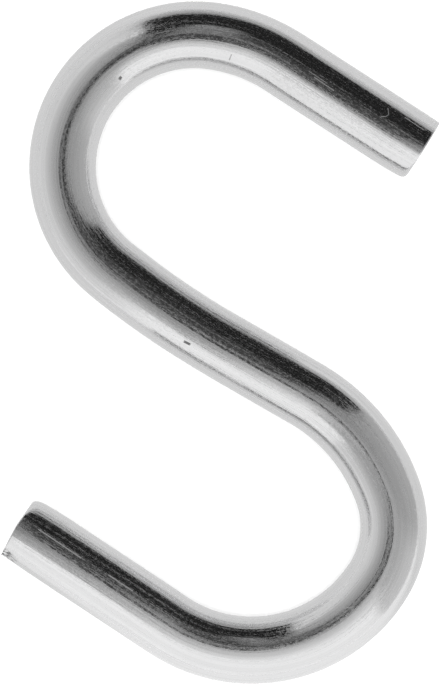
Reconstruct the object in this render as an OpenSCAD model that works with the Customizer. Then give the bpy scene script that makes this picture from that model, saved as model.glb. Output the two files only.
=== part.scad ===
// S hook bent from one length of round plated wire, lying flat on its side.
// X runs across the hook, Y along it from the lower hook to the upper one, and Z up
// from the surface it lies on. The origin is the middle of its outline, on that surface.
//
// Each hook turns through three tangent bends: an ease out of the middle leg, the main
// bend, and a toe that runs out into the straight arm. The wire thins by a hair at each
// step into a bend. The arms end in sheared faces: rolled over on the mouth side, flat
// to the middle, and torn back from there to the side away from the mouth.

/* [Wire] */
// Diameter of the round wire
wire_d = 5; // [3:0.1:7]
// Radius lost at each step into a bend, where the wire is drawn round the former
thinning = 0.02; // [0.01:0.005:0.05]

/* [Middle leg] */
// Length of the straight stretch between the two hooks
leg_len = 7.2; // [2:0.1:30]
// Fall of that stretch from left to right, in degrees
leg_fall = 30; // [20:0.5:45]

/* [Upper hook] */
// Centreline radius of the ease out of the leg
upper_ease_r = 64; // [20:1:80]
// Degrees turned by the ease
upper_ease_deg = 8.8; // [4:0.1:20]
// Centreline radius of the main bend
upper_bend_r = 9.75; // [7:0.05:14]
// Degrees turned by the main bend
upper_bend_deg = 149; // [120:0.5:155]
// Centreline radius of the toe
upper_toe_r = 12.95; // [7:0.05:16]
// Degrees turned by the toe
upper_toe_deg = 25.1; // [5:0.1:30]
// Straight arm, from the toe to the sheared face
upper_arm_len = 12.1; // [6:0.1:20]
// Radius rolled onto the mouth side of the face
upper_roll_r = 0.45; // [0.2:0.05:1.2]
// How far the torn half of the face falls back
upper_tear = 0.05; // [0.02:0.01:0.5]

/* [Lower hook] */
// Centreline radius of the ease out of the leg
lower_ease_r = 13.6; // [10:0.1:40]
// Degrees turned by the ease
lower_ease_deg = 40.4; // [20:0.1:60]
// Centreline radius of the main bend
lower_bend_r = 7.55; // [5:0.05:12]
// Degrees turned by the main bend
lower_bend_deg = 52.5; // [40:0.5:80]
// Centreline radius of the toe
lower_toe_r = 11.05; // [7:0.05:16]
// Degrees turned by the toe
lower_toe_deg = 90.6; // [60:0.1:95]
// Straight arm, from the toe to the sheared face
lower_arm_len = 13.4; // [6:0.1:20]
// Radius rolled onto the mouth side of the face
lower_roll_r = 0.85; // [0.2:0.05:1.2]
// How far the torn half of the face falls back
lower_tear = 0.2; // [0.02:0.01:0.5]

/* [Hidden] */
$fn = 96;

wire_r = wire_d / 2;
eased_r = wire_r - thinning; // radius of the wire in an ease or a toe
bent_r = wire_r - 2 * thinning; // and in a main bend
lap = 0.3; // how far each thinner length runs on into the thicker one beside it
roll_meet_deg = 20; // angle at which a rolled edge leaves the side of the wire
over = 1; // how far each cutter runs past what it cuts
path_steps = 120; // samples in each bend where the outline is measured

// Each hook: [radius, degrees] of its ease, main bend and toe
upper_bends = [
    [upper_ease_r, upper_ease_deg],
    [upper_bend_r, upper_bend_deg],
    [upper_toe_r, upper_toe_deg]
];
lower_bends = [
    [lower_ease_r, lower_ease_deg],
    [lower_bend_r, lower_bend_deg],
    [lower_toe_r, lower_toe_deg]
];
bend_wire_r = [eased_r, bent_r, eased_r];

// A station is a place on the centreline and the heading there: [x, y, degrees].
// This is the station so far ahead of s, or the point so far to its left.
function ahead(s, length, left = 0) = [
    s.x + length * cos(s.z) - left * sin(s.z),
    s.y + length * sin(s.z) + left * cos(s.z),
    s.z
];

// The middle of a bend that turns right, and the station where it ends
function bend_centre(s, r) = [s.x + r * sin(s.z), s.y - r * cos(s.z)];
function after_bend(s, r, deg) =
    let (c = bend_centre(s, r), heading = s.z - deg)
    [c.x - r * sin(heading), c.y + r * cos(heading), heading];

// Stations at the start of each bend in turn, and after the last one
function stations(s, bends, i = 0) = i == len(bends)
    ? [s]
    : concat([s], stations(after_bend(s, bends[i][0], bends[i][1]), bends, i + 1));

upper_path = stations(ahead([0, 0, 180 - leg_fall], leg_len / 2), upper_bends);
lower_path = stations(ahead([0, 0, -leg_fall], leg_len / 2), lower_bends);

// Points round the outline of a hook as seen from above, for the middle of the whole
function hook_outline(path, bends, arm_len, roll_r, tear) = concat(
    [for (i = [0:len(bends) - 1], k = [0:path_steps], side = [-1, 1])
        ahead(after_bend(path[i], bends[i][0], bends[i][1] * k / path_steps), 0, side * bend_wire_r[i])],
    [for (left = [-wire_r, wire_r]) ahead(path[3], 0, left)],
    [ahead(path[3], arm_len, roll_r - wire_r), ahead(path[3], arm_len - tear, wire_r)]
);
outline = concat(
    hook_outline(upper_path, upper_bends, upper_arm_len, upper_roll_r, upper_tear),
    hook_outline(lower_path, lower_bends, lower_arm_len, lower_roll_r, lower_tear)
);
function middle(values) = (min(values) + max(values)) / 2;
centre = [middle([for (p = outline) p.x]), middle([for (p = outline) p.y])];

module at_station(s) translate([s.x, s.y, 0]) rotate(s.z) children();

// A straight length of wire ahead of a station
module straight(s, length) at_station(s) rotate([0, 90, 0]) cylinder(r = wire_r, h = length);

// A bend of [radius, degrees] to the right, run on into the wire before and after it
module bend(s, radius_deg, r, lap_before, lap_after) {
    path_r = radius_deg[0];
    before = lap_before / path_r * 180 / PI;
    after = lap_after / path_r * 180 / PI;
    translate(bend_centre(s, path_r)) rotate(s.z - radius_deg[1] - after + 90)
        rotate_extrude(angle = before + radius_deg[1] + after) translate([path_r, 0]) circle(r = r);
}

// All that the shear takes off the end of an arm that lies along X, mouth side at -Y
module sheared_off(arm_len, roll_r, tear) {
    wide = wire_r + over;
    past = arm_len + over;
    roll_y = roll_r * cos(roll_meet_deg) - wire_r;
    linear_extrude(2 * wide, center = true) {
        polygon([
            [arm_len, -wide], [past, -wide], [past, wide],
            [arm_len - tear * wide / wire_r, wide], [arm_len, 0]
        ]);
        difference() {
            translate([arm_len - roll_r, -wide]) square([roll_r + over, roll_y + wide]);
            translate([arm_len - roll_r, roll_y]) circle(r = roll_r);
        }
    }
}

module arm(s, arm_len, roll_r, tear) difference() {
    straight(s, arm_len + over / 2);
    at_station(s) sheared_off(arm_len, roll_r, tear);
}

module upper_hook() {
    bend(upper_path[0], upper_bends[0], eased_r, lap, 0);
    bend(upper_path[1], upper_bends[1], bent_r, lap, lap);
    bend(upper_path[2], upper_bends[2], eased_r, 0, lap);
    arm(upper_path[3], upper_arm_len, upper_roll_r, upper_tear);
}

module lower_hook() {
    bend(lower_path[0], lower_bends[0], eased_r, lap, 0);
    bend(lower_path[1], lower_bends[1], bent_r, lap, lap);
    bend(lower_path[2], lower_bends[2], eased_r, 0, lap);
    arm(lower_path[3], lower_arm_len, lower_roll_r, lower_tear);
}

// The whole wire, turned and moved to lie on the surface with its outline centred
module s_hook() color([0.78, 0.79, 0.8]) translate([-centre.x, -centre.y, wire_r]) {
    straight(ahead([0, 0, -leg_fall], -leg_len / 2), leg_len);
    upper_hook();
    lower_hook();
}

s_hook();
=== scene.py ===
"""An S hook of bright plated wire, lying on a pale table under soft studio light.

The wire is swept by hand from one circle: pushed along its straights, spun round its
bends, capped, and then dressed at its two sheared ends. Everything is in metres, in the
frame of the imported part: the hook lies in the XY plane, its underside at Z = 0.
"""

import functools
import math
from dataclasses import dataclass

import bmesh
import bpy
from mathutils import Matrix, Vector, noise


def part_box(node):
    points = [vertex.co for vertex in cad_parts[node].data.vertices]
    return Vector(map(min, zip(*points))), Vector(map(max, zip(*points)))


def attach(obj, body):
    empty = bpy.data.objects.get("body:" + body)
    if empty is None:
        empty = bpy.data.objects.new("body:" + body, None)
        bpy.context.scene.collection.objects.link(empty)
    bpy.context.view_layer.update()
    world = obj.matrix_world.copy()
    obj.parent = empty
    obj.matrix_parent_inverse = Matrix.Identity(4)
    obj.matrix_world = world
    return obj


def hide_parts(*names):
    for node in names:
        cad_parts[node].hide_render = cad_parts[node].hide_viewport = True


MM = 0.001

# ---------------------------------------------------------------- sizes, as in the part

WIRE_R = 2.5 * MM
THINNING = 0.02 * MM  # radius lost at each step into a bend
LEG_LENGTH = 7.2 * MM
LEG_HEADING = -30.0  # degrees, from the upper hook down to the lower one
UPPER_EASE = (64.0 * MM, 8.8)  # centreline radius, degrees turned
UPPER_BEND = (9.75 * MM, 149.0)
UPPER_TOE = (12.95 * MM, 25.1)
UPPER_ARM = 12.1 * MM
UPPER_ROLL = 0.45 * MM  # rounding of the sheared edge, on the mouth side
UPPER_TEAR = 0.05 * MM  # how far the torn half of the face falls back
LOWER_EASE = (13.6 * MM, 40.4)
LOWER_BEND = (7.55 * MM, 52.5)
LOWER_TOE = (11.05 * MM, 90.6)
LOWER_ARM = 13.4 * MM
LOWER_ROLL = 0.85 * MM
LOWER_TEAR = 0.2 * MM

# ---------------------------------------------------------------- fineness of the mesh

ROUND = 160  # sides of the wire's mesh
STEP = 0.3 * MM  # distance between its rings
BEND_SAMPLES = 200  # points of a bend that its outline is measured at
MERGE = 0.001 * MM  # points this close become one
TINY = 1e-9  # a length that counts as none
ON_FACE = 1e-7  # how near to a sheared face a point counts as on it
# Widths in mm of the rings inside a sheared face, from its edge inwards.
FACE_RINGS = (0.04, 0.05, 0.06, 0.07, 0.08, 0.09, 0.1, 0.12, 0.14, 0.16, 0.18) + (0.2,) * 5
SMOOTH_ANGLE = 40.0  # degrees between faces past which an edge stays sharp

# ---------------------------------------------------------------- the frame

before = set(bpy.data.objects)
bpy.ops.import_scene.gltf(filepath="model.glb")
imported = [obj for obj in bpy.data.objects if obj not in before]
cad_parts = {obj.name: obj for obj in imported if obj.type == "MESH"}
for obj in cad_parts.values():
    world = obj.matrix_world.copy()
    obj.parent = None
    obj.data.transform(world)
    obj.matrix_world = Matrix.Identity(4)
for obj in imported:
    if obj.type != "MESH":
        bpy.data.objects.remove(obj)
bpy.context.view_layer.update()


# ---------------------------------------------------------------- the wire's route


class Stretch:
    """A straight or a bend of the wire's centreline. turn is in degrees, positive to the left."""

    def __init__(self, start, heading, length, turn=0.0, thin=0.0):
        self.start = Vector(start)
        self.heading = heading
        self.length = length
        self.turn = turn
        self.thin = thin
        self.forward = Vector((math.cos(math.radians(heading)), math.sin(math.radians(heading))))
        self.left = Vector((-self.forward.y, self.forward.x))
        if turn:
            self.radius = length / math.radians(turn)
            self.centre = self.start + self.left * self.radius

    def end(self):
        """The point and heading where the stretch ends."""
        if not self.turn:
            return self.start + self.forward * self.length, self.heading
        spin = Matrix.Rotation(math.radians(self.turn), 2)
        return self.centre + spin @ (self.start - self.centre), self.heading + self.turn

    def unbend(self, point):
        """How far a point is along the stretch and how far to the left of its centreline."""
        if not self.turn:
            offset = point - self.start
            return offset.dot(self.forward), offset.dot(self.left)
        arm = point - self.centre
        first = self.start - self.centre
        angle = math.atan2(first.x * arm.y - first.y * arm.x, first.dot(arm))
        side = math.copysign(1.0, self.radius)
        return angle * self.radius, side * (abs(self.radius) - arm.length)


def arc(radius_degrees, side):
    """Length and signed turn of a bend given as (radius, degrees)."""
    radius, degrees = radius_degrees
    return radius * math.radians(degrees), side * degrees


def wire_route():
    """The stretches from the upper sheared face to the lower one, centred as the part is."""
    plan = [
        (UPPER_ARM, 0.0, 0),
        (*arc(UPPER_TOE, 1), 1),
        (*arc(UPPER_BEND, 1), 2),
        (*arc(UPPER_EASE, 1), 1),
        (LEG_LENGTH, 0.0, 0),
        (*arc(LOWER_EASE, -1), 1),
        (*arc(LOWER_BEND, -1), 2),
        (*arc(LOWER_TOE, -1), 1),
        (LOWER_ARM, 0.0, 0),
    ]
    heading = LEG_HEADING - UPPER_EASE[1] - UPPER_BEND[1] - UPPER_TOE[1]
    route, point = [], Vector((0.0, 0.0))
    for length, turn, steps in plan:
        route.append(Stretch(point, heading, length, turn, steps * THINNING))
        point, heading = route[-1].end()
    return route


def route_box(route):
    """Lowest and highest corner of the wire in plan, with its torn corners fallen back."""
    sides = []
    for s in route:
        samples = BEND_SAMPLES if s.turn else 1
        reach = WIRE_R - s.thin
        for i in range(samples + 1):
            part = Stretch(s.start, s.heading, s.length * i / samples, s.turn * i / samples)
            point, heading = part.end() if i else (s.start, s.heading)
            across = Vector((-math.sin(math.radians(heading)), math.cos(math.radians(heading))))
            sides += [point - reach * across, point + reach * across]
    sides[0] += UPPER_TEAR * route[0].forward
    sides[-1] -= LOWER_TEAR * route[-1].forward
    xs, ys = zip(*sides)
    return Vector((min(xs), min(ys))), Vector((max(xs), max(ys)))


def route_length(route):
    return sum(stretch.length for stretch in route)


def centred_route():
    """The route moved so that its outline fills the part's box."""
    route = wire_route()
    low, high = route_box(route)
    box_low, box_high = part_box("s_hook")
    shift = ((box_low + box_high).to_2d() - low - high) / 2
    return [Stretch(s.start + shift, s.heading, s.length, s.turn, s.thin) for s in route]


# ---------------------------------------------------------------- sweeping the wire


def deselect_all():
    if bpy.context.object and bpy.context.object.mode != "OBJECT":
        bpy.ops.object.mode_set(mode="OBJECT")
    bpy.ops.object.select_all(action="DESELECT")


def start_ring(stretch):
    """A circle of wire size across the start of the route, in edit mode."""
    deselect_all()
    turn = math.radians(stretch.heading)
    bpy.ops.mesh.primitive_circle_add(
        vertices=ROUND,
        radius=WIRE_R,
        fill_type="NOTHING",
        location=(*stretch.start, WIRE_R),
        rotation=(math.pi / 2, 0.0, turn + math.pi / 2),
    )
    ring = bpy.context.object
    bpy.ops.object.transform_apply(location=True, rotation=True, scale=True)
    bpy.ops.object.mode_set(mode="EDIT")
    bpy.ops.mesh.select_all(action="SELECT")
    return ring


def push_straight(stretch):
    """Extrudes the selected ring along a straight, a ring at each step."""
    steps = max(1, round(stretch.length / STEP))
    move = stretch.forward * (stretch.length / steps)
    push = {"value": (move.x, move.y, 0.0)}
    for _ in range(steps):
        bpy.ops.mesh.extrude_region_move(TRANSFORM_OT_translate=push)


def spin_bend(stretch):
    """Spins the selected ring round the middle of a bend."""
    bpy.ops.mesh.spin(
        steps=max(2, round(stretch.length / STEP)),
        angle=math.radians(-stretch.turn),
        center=(*stretch.centre, WIRE_R),
        axis=(0.0, 0.0, 1.0),
    )


def cap_ends():
    """Fills both open ends and insets them into rings that the faces can be shaped with."""
    bpy.ops.mesh.select_all(action="DESELECT")
    bpy.ops.mesh.select_non_manifold()
    bpy.ops.mesh.edge_face_add()
    bpy.ops.mesh.select_mode(type="FACE")
    bpy.ops.mesh.select_all(action="DESELECT")
    mesh = bmesh.from_edit_mesh(bpy.context.object.data)
    for face in mesh.faces:
        face.select_set(len(face.verts) == ROUND)
    bmesh.update_edit_mesh(bpy.context.object.data)
    for width in FACE_RINGS:
        bpy.ops.mesh.inset(thickness=width * MM)
    bpy.ops.mesh.poke()


def sweep_wire(route):
    """The whole wire as one closed mesh."""
    wire = start_ring(route[0])
    for stretch in route:
        if stretch.turn:
            spin_bend(stretch)
        else:
            push_straight(stretch)
    bpy.ops.mesh.select_all(action="SELECT")
    bpy.ops.mesh.remove_doubles(threshold=MERGE)
    cap_ends()
    bpy.ops.mesh.select_all(action="SELECT")
    bpy.ops.mesh.normals_make_consistent(inside=False)
    bpy.ops.object.mode_set(mode="OBJECT")
    return wire


# ---------------------------------------------------------------- dressing the swept wire


def smooth(low, high, value):
    """0 below low, 1 above high and a smooth rise between them."""
    t = min(max((value - low) / (high - low), 0.0), 1.0)
    return t * t * (3.0 - 2.0 * t)


def unbent(route, point):
    """A point's place on the straightened wire: along it from the upper face, left of the
    centreline and up from it, with the index of the stretch that holds it."""
    flat = point.to_2d()
    passed, best = 0.0, None
    for index, stretch in enumerate(route):
        along, left = stretch.unbend(flat)
        first, last = index == 0, index == len(route) - 1
        outside = max(0.0 if first else -along, 0.0 if last else along - stretch.length, 0.0)
        miss = outside + max(abs(left) - WIRE_R, 0.0)
        if best is None or miss < best[0] - TINY:
            best = (miss, Vector((passed + along, left, point.z - WIRE_R)), index)
        passed += stretch.length
    return best[1], best[2]


def bent(route, place, index):
    """The point in the frame that unbent() gave this place for."""
    stretch = route[index]
    along = place.x - route_length(route[:index])
    if not stretch.turn:
        flat = stretch.start + stretch.forward * along + stretch.left * place.y
    else:
        spin = Matrix.Rotation(along / stretch.radius, 2)
        out = (stretch.start - stretch.centre).normalized()
        side = math.copysign(1.0, stretch.radius)
        flat = stretch.centre + spin @ (out * (abs(stretch.radius) - side * place.y))
    return Vector((flat.x, flat.y, place.z + WIRE_R))


def thinning_at(route, along):
    """Radius lost at a place along the wire, with each step in the part made a smooth one."""
    ease = 1.5 * MM  # half the length of a smoothed step
    lost, passed = 0.0, 0.0
    for before, after in zip(route, route[1:]):
        passed += before.length
        step = smooth(passed - ease, passed + ease, along)
        lost += (after.thin - before.thin) * step
    return lost


@dataclass
class ShearedEnd:
    """One end of the wire, shaped as a shear leaves it. Mouthness is how far a place is towards
    the mouth side, from -1 at the far side, where the metal tore, to 1."""

    face: float  # the end's place along the wire
    outward: float  # the sign of along that leads out of it
    mouth_side: float  # the sign of left on the mouth side
    roll: float  # length of the edge's rounding on the mouth side
    bluntness: float  # how deep that rounding is for its length
    tear: float  # how far the torn half of the face falls back
    sink: float  # how far the surface draws down towards the edge on the mouth side
    dent: float  # how far it is pushed in behind the torn edge
    burr: float  # raggedness of the torn edge
    seed: float  # picks the pattern of the burr and the grain

    reach = 3.0 * MM  # length of wire that is shaped
    least_rounding = 0.03 * MM
    rim = 0.8 * WIRE_R  # radius where the face's rim starts
    dent_starts = (0.1 * MM, 0.5 * MM)  # depths where a dent rises to its full size
    burr_ends = (0.6 * MM, 1.6 * MM)  # depths where the burr dies out
    burr_size = (0.16 * MM, 0.3 * MM)  # of its lumps, up the edge and into the wire
    grain_size = 0.35 * MM
    grain_height = (0.006 * MM, 0.03 * MM)  # everywhere, and more on the torn half
    # Spans of mouthness over which the rounding and the sinking grow.
    rolled = (0.1, 1.0)
    sunken = (-0.6, 1.0)
    # The same the other way, over which the torn grain and the torn edge come up.
    coarse = (-0.1, 0.3)
    torn = (0.5, 0.95)

    def rounding(self, mouthness):
        """The length of the edge's rounding."""
        return max(self.roll * smooth(*self.rolled, mouthness), self.least_rounding)

    def face_grain(self, place, mouthness):
        """How far the grain of the sheared face falls back at a place."""
        spot = Vector((place.y / self.grain_size, place.z / self.grain_size, self.seed))
        low, more = self.grain_height
        height = low + more * smooth(*self.coarse, -mouthness)
        return height * (1.0 + noise.fractal(spot, 0.8, 2.2, 4))

    def dress(self, place):
        """Moves a place near the end to the shape that the shear leaves."""
        depth = max((self.face - place.x) * self.outward, 0.0)
        if depth > self.reach:
            return place
        radius = math.hypot(place.y, place.z)
        mouthness = place.y * self.mouth_side / max(radius, TINY)
        torn = smooth(*self.torn, -mouthness)
        rim = smooth(self.rim, WIRE_R, radius)
        rounding = self.rounding(mouthness)
        on_face = depth < ON_FACE and radius < WIRE_R - ON_FACE
        if not on_face:
            depth = self.reach * (depth / self.reach) ** 2  # crowds the rings towards the edge
        fade = 1.0 - depth / self.reach
        sunk = self.sink * smooth(*self.sunken, mouthness) * fade**2
        ring = min(depth / rounding, 1.0)
        sunk += self.bluntness * rounding * (1.0 - math.sqrt(1.0 - (1.0 - ring) ** 2))
        sunk += self.dent * torn * smooth(*self.dent_starts, depth) * fade**2
        lump_up, lump_in = self.burr_size
        ragged = noise.noise(Vector((place.z / lump_up, depth / lump_in, self.seed)))
        burr = self.burr * torn
        sunk += burr * max(ragged + 0.2, 0.0) * (1.0 - smooth(*self.burr_ends, depth))
        fall = self.tear * max(-place.y * self.mouth_side / WIRE_R, 0.0) * fade
        fall += burr * max(ragged, 0.0) * rim * fade**2
        if on_face:
            fall += self.face_grain(place, mouthness) * (1.0 - rim)
            scale = 1.0 - sunk / WIRE_R
        else:
            scale = 1.0 - sunk / radius
        along = self.face - self.outward * (depth + fall)
        return Vector((along, place.y * scale, place.z * scale))


def pressed_flat(place):
    """How far the bending die flattened the upper arm, on the top of its mouth side. The flat
    starts at a ridge, is lowest nearly half way out and fades away along the toe bend."""
    deepest = 0.1 * MM
    ridge, lowest = 0.18, 0.46  # as parts of the wire's radius, from its centreline out
    runs_out = (11.0 * MM, 18.0 * MM)
    side = place.y / WIRE_R
    if place.z < 0.0 or side < 0.0:
        return 0.0
    if side < lowest:
        dip = 1.0 - ((lowest - max(side, ridge)) / (lowest - ridge)) ** 2
    else:
        dip = 1.0 - smooth(lowest, 1.0, side)
    return deepest * dip * (1.0 - smooth(*runs_out, place.x))


def wavered(place):
    """The place on a wire that drawing has left a touch thin and uneven."""
    long, round_about, deep = 5.0 * MM, 2.2 * MM, 0.006 * MM
    spot = Vector((place.x / long, place.y / round_about, place.z / round_about))
    slack = deep * (noise.noise(spot) - 1.0) / WIRE_R
    return Vector((place.x, place.y * (1.0 + slack), place.z * (1.0 + slack)))


def dress_wire(wire, route):
    """Thins the bends, shapes the sheared ends and lets the drawn surface waver a little.
    Each point's place on the straight wire is kept as an attribute for the finish."""
    height_share = 0.4  # of the thinning across a bend, that also lowers it
    upper_end = ShearedEnd(
        face=0.0,
        outward=-1.0,
        mouth_side=1.0,
        roll=UPPER_ROLL,
        bluntness=0.8,
        tear=UPPER_TEAR,
        sink=0.1 * MM,
        dent=0.0,
        burr=0.02 * MM,
        seed=3.0,
    )
    lower_end = ShearedEnd(
        face=route_length(route),
        outward=1.0,
        mouth_side=-1.0,
        roll=LOWER_ROLL,
        bluntness=0.4,
        tear=LOWER_TEAR,
        sink=0.13 * MM,
        dent=0.06 * MM,
        burr=0.22 * MM,
        seed=8.0,
    )
    kept = wire.data.attributes.new("drawn_place", "FLOAT_VECTOR", "POINT")
    for vertex in wire.data.vertices:
        place, index = unbent(route, vertex.co)
        kept.data[vertex.index].vector = place / MM
        lost = thinning_at(route, place.x)
        place.y *= 1.0 - lost / WIRE_R
        place.z *= 1.0 - height_share * lost / WIRE_R
        place = lower_end.dress(upper_end.dress(place))
        place.z -= pressed_flat(place)
        vertex.co = bent(route, wavered(place), index)
    lowest = min(v.co.z for v in wire.data.vertices)
    for vertex in wire.data.vertices:
        vertex.co.z -= lowest
    wire.data.update()


# ---------------------------------------------------------------- shader maths


class Sock:
    """A node socket that takes part in Python expressions, which add Math nodes."""

    def __init__(self, graph, socket):
        self.graph = graph
        self.socket = socket

    def math(self, operation, *others, flip=False):
        values = [self, *others]
        if flip:
            values.reverse()
        return self.graph.node("ShaderNodeMath", {"operation": operation}, values)

    def __add__(self, other):
        return self.math("ADD", other)

    def __radd__(self, other):
        return self.math("ADD", other)

    def __sub__(self, other):
        return self.math("SUBTRACT", other)

    def __rsub__(self, other):
        return self.math("SUBTRACT", other, flip=True)

    def __mul__(self, other):
        return self.math("MULTIPLY", other)

    def __rmul__(self, other):
        return self.math("MULTIPLY", other)

    def __abs__(self):
        return self.math("ABSOLUTE")

    def ramp(self, low, high):
        """0 at low, 1 at high, smooth between them."""
        if low > high:
            return 1.0 - self.ramp(high, low)
        settings = {"interpolation_type": "SMOOTHSTEP"}
        limits = {"Value": self, "From Min": low, "From Max": high}
        return self.graph.node("ShaderNodeMapRange", settings, limits)

    def between(self, low, high, soft):
        """1 between low and high, falling to 0 over soft outside them."""
        return self.ramp(low - soft, low) * (1.0 - self.ramp(high, high + soft))

    def most(self, other):
        """The greater of the two."""
        return self.math("MAXIMUM", other)


class Graph:
    """Adds nodes to a node tree from their type, settings and the values or links they take."""

    def __init__(self, tree):
        self.tree = tree
        tree.nodes.clear()

    def node(self, kind, settings=None, inputs=(), output=0):
        """A new node's output, wrapped. inputs is a list in order or a dict by socket name."""
        made = self.tree.nodes.new(kind)
        for name, value in (settings or {}).items():
            setattr(made, name, value)
        pairs = inputs.items() if isinstance(inputs, dict) else enumerate(inputs)
        for key, value in pairs:
            if isinstance(value, Sock):
                self.tree.links.new(value.socket, made.inputs[key])
            else:
                made.inputs[key].default_value = value
        return Sock(self, made.outputs[output]) if len(made.outputs) else None


def new_material(name):
    material = bpy.data.materials.new(name)
    material.use_nodes = True
    return material, Graph(material.node_tree)


# ---------------------------------------------------------------- the plated finish

# Marks on the top of the wire, as (start, end, width) in mm. A start or an end is how far it
# is along the wire from the upper face and how far left of the centreline.
SCRATCHES = (
    ((3.95, -0.4), (3.65, -0.6), 0.05),  # a curl like a hair near the upper end, in three parts
    ((3.65, -0.6), (3.55, -0.85), 0.05),
    ((3.55, -0.85), (3.85, -1.2), 0.05),
    ((1.5, -1.3), (2.7, -1.32), 0.05),
    ((7.9, -0.12), (9.6, -0.16), 0.05),
    ((8.6, -0.3), (10.2, -0.33), 0.04),
    ((97.8, -0.75), (99.9, -0.76), 0.07),
    ((102.3, -0.68), (105.4, -0.72), 0.07),
    ((79.2, -0.3), (80.1, -0.95), 0.05),
)
PITS = (
    ((25.85, 1.3), (26.0, 1.34), 0.13),
    ((50.5, -1.2), (50.9, -1.16), 0.1),
)
FAINT_PIT = ((16.05, 1.2), (16.1, 1.6), 0.06)


def plated_wire(length):
    """Bright plating over drawn wire of this length: lines along it, a faint orange peel, dull
    specks and streaks, a few scratches and pits, and painted shadow strokes under the burr
    at the lower torn edge."""
    material, graph = new_material("bright_plate")
    place = graph.node("ShaderNodeAttribute", {"attribute_name": "drawn_place"}, output=1)
    along, left, up = (
        graph.node("ShaderNodeSeparateXYZ", {}, [place], output=n) for n in range(3)
    )
    on_top = up.ramp(0.0, 0.3)

    def grain(lengthwise, crosswise, detail=2.0, rough=0.5):
        """Noise with this many lumps to a mm along the wire and across it."""
        scales = (lengthwise, crosswise, crosswise)
        drawn = graph.node("ShaderNodeVectorMath", {"operation": "MULTIPLY"}, [place, scales])
        inputs = {"Vector": drawn, "Scale": 1.0, "Detail": detail, "Roughness": rough}
        return graph.node("ShaderNodeTexNoise", {"noise_dimensions": "3D"}, inputs)

    def mark(start, end, width):
        """1 on a line on the top of the wire."""
        run, rise = end[0] - start[0], end[1] - start[1]
        span = math.hypot(run, rise)
        run, rise = run / span, rise / span
        passed = (along - start[0]) * run + (left - start[1]) * rise
        aside = abs((along - start[0]) * rise - (left - start[1]) * run)
        return passed.between(0.0, span, width) * (1.0 - aside.ramp(0.5 * width, width)) * on_top

    def marks(places):
        """1 on any of the lines."""
        return functools.reduce(Sock.most, [mark(*one) for one in places])

    scratches = marks(SCRATCHES)
    pits = marks(PITS).most(mark(*FAINT_PIT) * 0.5)

    # Relief: each pattern by how high it stands, in steps of relief_height.
    relief_height = 0.004 * MM
    lines = grain(0.035, 2.6)
    fine_lines = grain(0.1, 9.0)
    peel = grain(1.1, 3.2)
    speckle = grain(8.0, 11.0, detail=1.0)
    height = lines * 3.2 + fine_lines * 0.9 + peel * 0.8 + speckle * 0.4 - pits * 6.0
    relief = {"Strength": 1.0, "Distance": relief_height, "Height": height}
    bump = graph.node("ShaderNodeBump", {}, relief)

    # Roughness: clean plating, duller in specks, streaks and marks.
    clean = 0.045
    specks = grain(4.2, 11.0, rough=0.7).ramp(0.36, 0.66)
    streaks = grain(0.07, 9.0, detail=3.0).ramp(0.45, 0.75)
    dull = clean + 0.2 * specks + 0.2 * streaks
    dull = dull.most(scratches * 0.5).most(pits * 0.5)

    # Tone: uneven along the drawn lines, dark in the pits, and painted shadow strokes under
    # the burr where the lower edge is torn.
    lower_face = length / MM
    torn = left.ramp(1.7, 2.15) * along.ramp(lower_face - 1.7, lower_face - 1.0)
    # Painted shadow: dark strokes in the colour stand in for the shade under the torn burr.
    painted_burr_shadow = torn * grain(2.0, 5.0, detail=3.0).ramp(0.46, 0.55)
    tone = 0.65 + 0.05 * grain(0.4, 2.0) + 0.22 * grain(0.03, 4.5, detail=3.0, rough=0.6)
    tone = tone * (1.0 - 0.7 * pits) * (1.0 - 0.85 * painted_burr_shadow)
    look = {
        "Base Color": graph.node("ShaderNodeCombineColor", {}, [tone, tone, tone * 1.005]),
        "Metallic": 1.0,
        "Roughness": dull,
        "Normal": bump,
    }
    shader = graph.node("ShaderNodeBsdfPrincipled", {}, look)
    graph.node("ShaderNodeOutputMaterial", {}, {"Surface": shader})
    return material


# ---------------------------------------------------------------- table, light and camera


def grey(display):
    """The light value that shows as this 0 to 255 grey, by the sRGB curve."""
    c = display / 255.0
    return c / 12.92 if c <= 0.04045 else ((c + 0.055) / 1.055) ** 2.4


def seen_only_by(piece, *rays):
    """Leaves a stage piece visible to the named kinds of ray alone."""
    for ray in ("camera", "diffuse", "glossy", "transmission", "volume_scatter", "shadow"):
        setattr(piece, "visible_" + ray, ray in rays)


def table_top(name, height, albedo, painted_light_albedo):
    """A pale square under the hook, part of the stage. Towards the lower hook it turns paler, up
    to the last albedo given: painted light, as from the softbox beyond it."""
    turns, turned = -19.0 * MM, -26.0 * MM
    deselect_all()
    bpy.ops.mesh.primitive_plane_add(size=4.0, location=(0.0, 0.0, height))
    top = bpy.context.object
    top.name = name
    bpy.ops.object.transform_apply(location=True, rotation=True, scale=True)
    material, graph = new_material(name)
    place = graph.node("ShaderNodeTexCoord", output=3)
    y = graph.node("ShaderNodeSeparateXYZ", {}, [place], output=1)
    # Painted light: the table grows paler towards the lower hook, where the softbox lit it more.
    tone = albedo + (painted_light_albedo - albedo) * y.ramp(turns, turned)
    paint = {
        "Base Color": graph.node("ShaderNodeCombineColor", {}, [tone, tone, tone]),
        "Roughness": 1.0,
        "Specular IOR Level": 0.0,
    }
    shader = graph.node("ShaderNodeBsdfPrincipled", {}, paint)
    graph.node("ShaderNodeOutputMaterial", {}, {"Surface": shader})
    top.data.materials.append(material)
    return top


def tables():
    """The table twice: as the camera sees it, and a greyer one that only the plating sees, with
    painted light along the lower hook.
    """
    pale = table_top("pale_table", height=0.0, albedo=0.9, painted_light_albedo=0.9)
    seen_only_by(pale, "camera", "diffuse")
    below = -0.02 * MM
    # Its paler strip along the lower hook is painted light, not a paler table.
    greyer = table_top("table_in_the_plating", height=below, albedo=0.44, painted_light_albedo=0.56)
    seen_only_by(greyer, "glossy")


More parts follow.
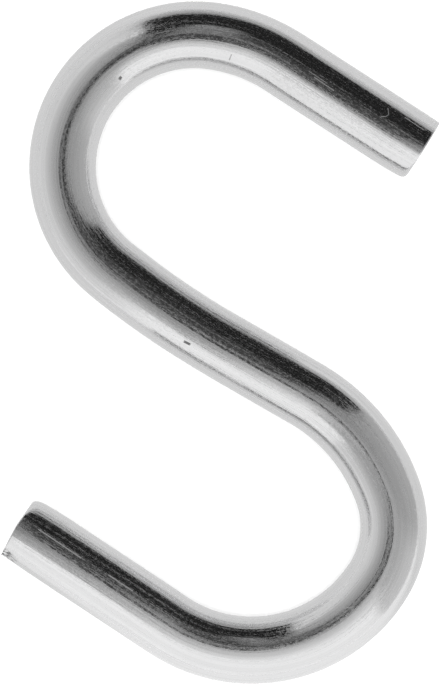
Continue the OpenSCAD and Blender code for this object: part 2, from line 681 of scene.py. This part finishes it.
def overhead_lamp():
    """A wide soft lamp straight above, which lights the table and isn't mirrored."""
    height, width, watts = 0.6, 0.5, 3.2
    deselect_all()
    bpy.ops.object.light_add(type="AREA", location=(0.0, 0.0, height))
    lamp = bpy.context.object
    lamp.name = "overhead_lamp"
    lamp.data.shape = "DISK"
    lamp.data.size = width
    lamp.data.energy = watts
    lamp.visible_glossy = False
    lamp.visible_camera = False


def plain_world():
    """An even white beyond the table."""
    brightness = 1.1
    world = bpy.data.worlds.new("plain_white")
    bpy.context.scene.world = world
    world.use_nodes = True
    graph = Graph(world.node_tree)
    light = {"Color": (1.0, 1.0, 1.0, 1.0), "Strength": brightness}
    white = graph.node("ShaderNodeBackground", {}, light)
    graph.node("ShaderNodeOutputWorld", {}, {"Surface": white})


def tent_light(graph):
    """What the plating mirrors, over a tent's inside. Each grey is about what shows in the
    wire, and angles are in degrees."""
    place = graph.node("ShaderNodeTexCoord", output=3)
    ray = graph.node("ShaderNodeVectorMath", {"operation": "NORMALIZE"}, [place])
    x, y, z = (graph.node("ShaderNodeSeparateXYZ", {}, [ray], output=n) for n in range(3))
    to_degrees = 180.0 / math.pi
    down = z.math("ARCCOSINE") * to_degrees  # 0 straight up, 90 level
    turn = y.math("ARCTAN2", x) * to_degrees
    turn = turn.math("FLOORED_MODULO", 360.0)  # 0 at +X, 90 at +Y

    def blend(under, over, mask):
        return under * (1.0 - mask) + over * mask

    def cloth(near_top, near_table):
        """Cloth that changes from one grey overhead to another at the table."""
        return blend(grey(near_top), grey(near_table), down.ramp(8.0, 88.0))

    # Grey cloth all round, paler low down on two sides.
    light = blend(cloth(142, 164), cloth(158, 192), turn.between(312.0, 338.0, 20.0))
    light = blend(light, cloth(138, 205), turn.between(116.0, 236.0, 14.0))

    # A pale blind that slants down to the left, and a dark crease in the cloth overhead.
    blind_line = 50.0 + (turn - 112.0) * 0.82
    blind = (down - blind_line).between(-5.0, 7.0, 6.0) * turn.between(110.0, 168.0, 6.0)
    light = blend(light, grey(200), blind)
    crease = (down - 14.5).between(-1.6, 1.6, 1.6) * turn.between(112.0, 208.0, 12.0)
    light = blend(light, grey(70), crease)

    # A white softbox beyond the lower hook, with a pale apron above it.
    front = turn.between(244.0, 314.0, 4.0)
    apron = blend(grey(182), grey(216), down.ramp(14.0, 42.0))
    light = blend(light, apron, front * down.ramp(8.0, 15.0))
    softbox = turn.between(231.0, 313.0, 3.0) * down.between(42.0, 104.0, 3.0)
    light = blend(light, grey(230), softbox)

    # A dark doorway beyond the upper hook that reaches overhead, crossed by a grey jamb.
    door = turn.between(40.0, 107.0, 3.0) * (1.0 - down.ramp(74.0, 81.0))
    light = blend(light, blend(grey(54), grey(30), down.ramp(20.0, 33.0)), door)
    jamb_turn = turn + (down - 25.0) * 0.3
    jamb = jamb_turn.between(82.0, 95.0, 2.0) * down.between(12.0, 36.0, 6.0)
    light = blend(light, grey(130), jamb)

    # A dark board straight above, a little to the left.
    board = x.between(-0.11, 0.04, 0.006) * y.between(-0.165, 0.15, 0.008) * z.ramp(0.0, 0.1)
    return blend(light, grey(58), board)


def light_tent():
    """A small round tent over the hook that only the plating sees."""
    radius = 0.15
    gain = 1.0 / 0.78  # makes up for what the plating takes from the light it mirrors
    deselect_all()
    bpy.ops.mesh.primitive_uv_sphere_add(segments=96, ring_count=48, radius=radius)
    tent = bpy.context.object
    tent.name = "light_tent"
    material, graph = new_material("tent_cloth")
    glow = graph.node("ShaderNodeEmission", {}, {"Color": tent_light(graph), "Strength": gain})
    graph.node("ShaderNodeOutputMaterial", {}, {"Surface": glow})
    material.cycles.emission_sampling = "NONE"
    tent.data.materials.append(material)
    seen_only_by(tent, "glossy")


def camera_above():
    """A long lens straight above the hook, framed tightly on it."""
    distance = 0.4
    frame_height = 50.52 * MM  # at the height of the wire's centreline
    off_centre = (-0.027 * MM, 0.008 * MM)
    sensor = 36.0
    data = bpy.data.cameras.new("camera")
    data.sensor_width = sensor
    data.lens = sensor * (distance - WIRE_R) / frame_height
    data.clip_start = 0.01
    camera = bpy.data.objects.new("camera", data)
    bpy.context.scene.collection.objects.link(camera)
    camera.location = (*off_centre, distance)
    bpy.context.scene.camera = camera


# ---------------------------------------------------------------- putting it together

route = centred_route()
wire = sweep_wire(route)
wire.name = "plated_wire"
dress_wire(wire, route)
wire.data.materials.append(plated_wire(route_length(route)))
bpy.ops.object.shade_smooth_by_angle(angle=math.radians(SMOOTH_ANGLE))
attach(wire, "root")
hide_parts("s_hook")

tables()
overhead_lamp()
plain_world()
light_tent()
camera_above()
bpy.context.scene.view_settings.view_transform = "Standard"
